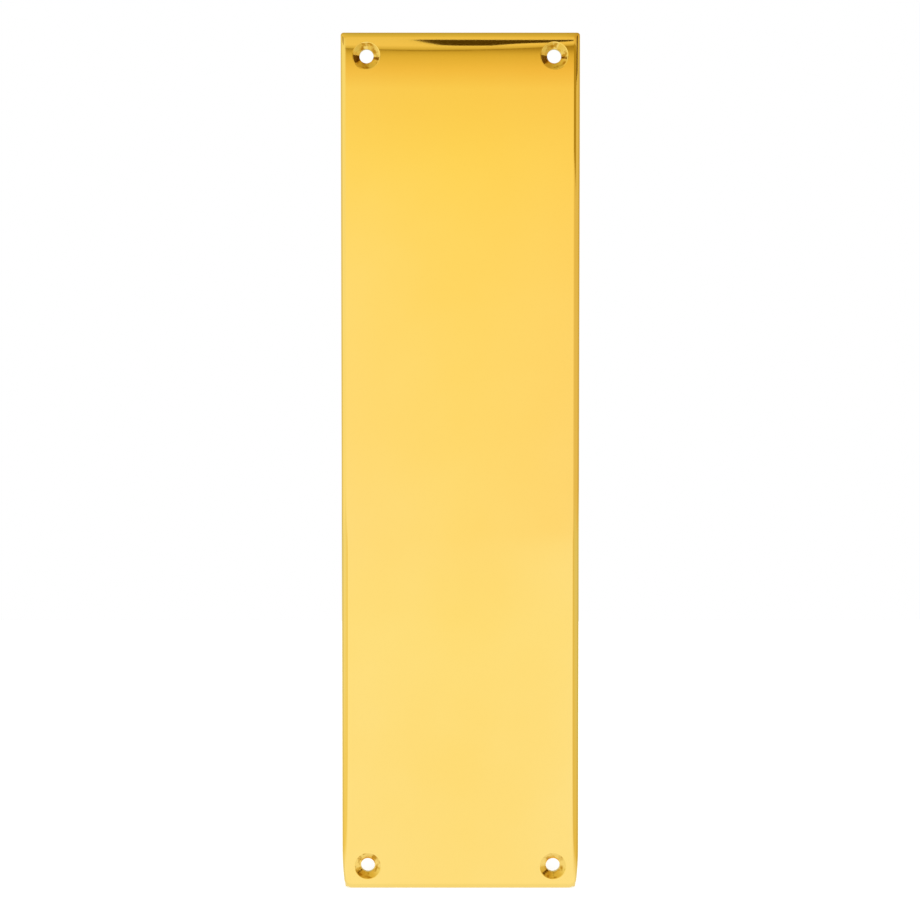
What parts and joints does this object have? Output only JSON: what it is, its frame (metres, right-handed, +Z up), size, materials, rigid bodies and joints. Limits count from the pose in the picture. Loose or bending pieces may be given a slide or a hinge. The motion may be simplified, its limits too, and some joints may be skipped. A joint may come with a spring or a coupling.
{
  "type": "door finger plate",
  "caption": "Plain tall rectangular brass finger plate with a rounded rim, rolled ends and a relieved back, screwed to a door through countersunk corner holes to keep hands off the paint.",
  "frame": {"origin": "centre of the back plane, which is the centre of the screw pattern", "axes": "+Z up along the plate's length as it hangs on a door, +X to the right across its width seen from the front, +Y into the door, so the face looks along -Y"},
  "size_m": [0.076, 0.0035, 0.274],
  "materials": {
    "polished_brass": "mirror polished and lacquered on the face and rim, left as cast and dull in the relief of the back"
  },
  "bodies": {
    "root": {"finger_plate": "polished_brass"}
  },
  "joints": []
}
